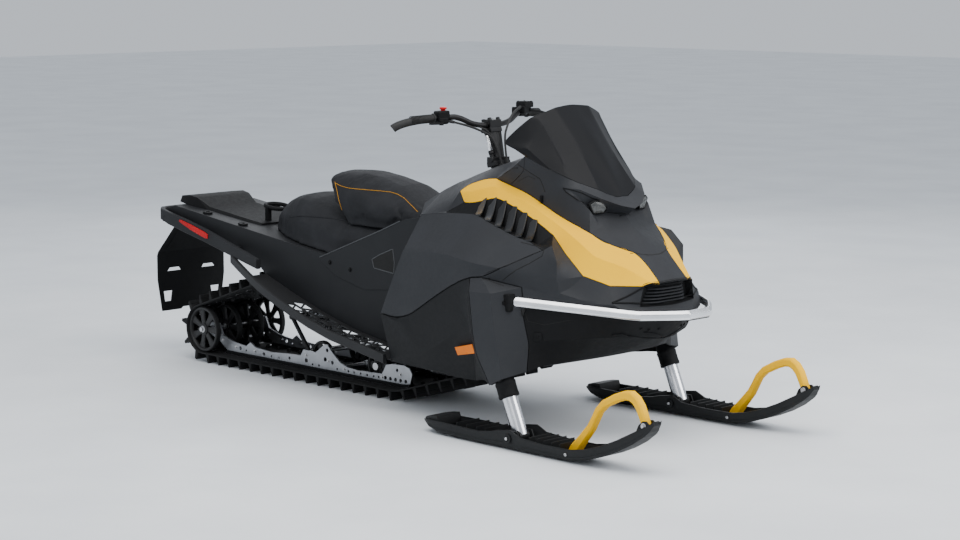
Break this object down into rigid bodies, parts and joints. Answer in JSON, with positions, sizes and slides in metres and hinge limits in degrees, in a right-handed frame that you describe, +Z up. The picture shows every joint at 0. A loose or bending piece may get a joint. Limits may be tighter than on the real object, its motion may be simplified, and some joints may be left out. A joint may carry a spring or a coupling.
{
  "type": "snowmobile",
  "caption": "Two-seat utility snowmobile with twin skis on raked struts, steered by a handlebar, and a long rubber track under a tunnel with a slide-rail suspension.",
  "frame": {"origin": "on the ground, at the middle of the length and width of the bounding box", "axes": "+X forward, +Y to the left, +Z up; millimetres in the part, metres here"},
  "size_m": [3.156, 1.044, 1.21],
  "materials": {
    "body_charcoal": "satin",
    "body_black": "matte",
    "stripe_amber": "gloss",
    "screen_black": "gloss",
    "lamp_clear": "gloss",
    "sheet_black": "satin",
    "fitting_black": "matte",
    "reflector_red": "gloss",
    "seat_vinyl": "matte",
    "track_rubber": "matte",
    "rail_aluminium": "satin",
    "wheel_black": "matte",
    "tube_black": "satin",
    "shock_steel": "satin",
    "engine_iron": "matte",
    "bumper_silver": "satin",
    "marker_orange": "gloss",
    "grip_rubber": "matte",
    "cable_black": "satin",
    "switch_red": "gloss",
    "leg_silver": "satin",
    "ski_black": "satin",
    "loop_amber": "gloss"
  },
  "bodies": {
    "chassis": {"hood_stripes": "stripe_amber", "hood": "body_charcoal", "console": "body_charcoal", "side_panels": "body_charcoal", "lower_panels": "body_charcoal", "strut_covers": "body_charcoal", "nose_sides": "body_charcoal", "belly_pan": "body_black", "front_grille": "body_black", "intake_vents": "body_black", "windshield": "screen_black", "headlamps": "lamp_clear", "tunnel": "sheet_black", "running_boards": "sheet_black", "rear_bumper": "sheet_black", "tail_cover": "body_black", "cargo_anchors": "fitting_black", "tail_reflectors": "reflector_red", "snow_flap": "body_black", "rear_seat": "seat_vinyl", "front_seat": "seat_vinyl", "seat_brackets": "sheet_black", "track": "track_rubber", "slide_rails": "rail_aluminium", "rear_axle_wheels": "wheel_black", "idler_wheels": "wheel_black", "suspension_arms": "tube_black", "shock_absorbers": "shock_steel", "drive_axle": "wheel_black", "strut_tubes": "tube_black", "steering_bearing": "tube_black", "front_frame": "tube_black", "engine": "engine_iron", "front_bumper": "bumper_silver", "side_markers": "marker_orange"},
    "steering": {"steering_post": "tube_black", "handlebar": "tube_black", "hand_grips": "grip_rubber", "control_blocks": "fitting_black", "stop_switch": "switch_red", "control_cables": "cable_black"},
    "leg_right": {"ski_leg_right": "leg_silver"},
    "leg_left": {"ski_leg_left": "leg_silver"},
    "ski_right": {"ski_right": "ski_black", "ski_loop_right": "loop_amber"},
    "ski_left": {"ski_left": "ski_black", "ski_loop_left": "loop_amber"}
  },
  "joints": [
    {"name": "handlebar_turn", "type": "hinge", "parent": "chassis", "child": "steering", "pos_m": [0.38, 0, 0.965], "axis": [-0.2588, 0, 0.9659], "range_deg": [-35, 35]},
    {"name": "ski_turn_right", "type": "hinge", "parent": "chassis", "child": "leg_right", "pos_m": [0.934, -0.45, 0.045], "axis": [-0.3907, 0, 0.9205], "range_deg": [-29, 29]},
    {"name": "ski_turn_left", "type": "hinge", "parent": "chassis", "child": "leg_left", "pos_m": [0.934, 0.45, 0.045], "axis": [-0.3907, 0, 0.9205], "range_deg": [-29, 29]},
    {"name": "ski_rock_right", "type": "hinge", "parent": "leg_right", "child": "ski_right", "pos_m": [0.934, -0.45, 0.045], "axis": [0, 1, 0], "range_deg": [-12, 8]},
    {"name": "ski_rock_left", "type": "hinge", "parent": "leg_left", "child": "ski_left", "pos_m": [0.934, 0.45, 0.045], "axis": [0, 1, 0], "range_deg": [-12, 8]}
  ],
  "couplings": [
    {"joint": "ski_turn_right", "follows": "handlebar_turn", "ratio": 0.8},
    {"joint": "ski_turn_left", "follows": "handlebar_turn", "ratio": 0.8}
  ]
}
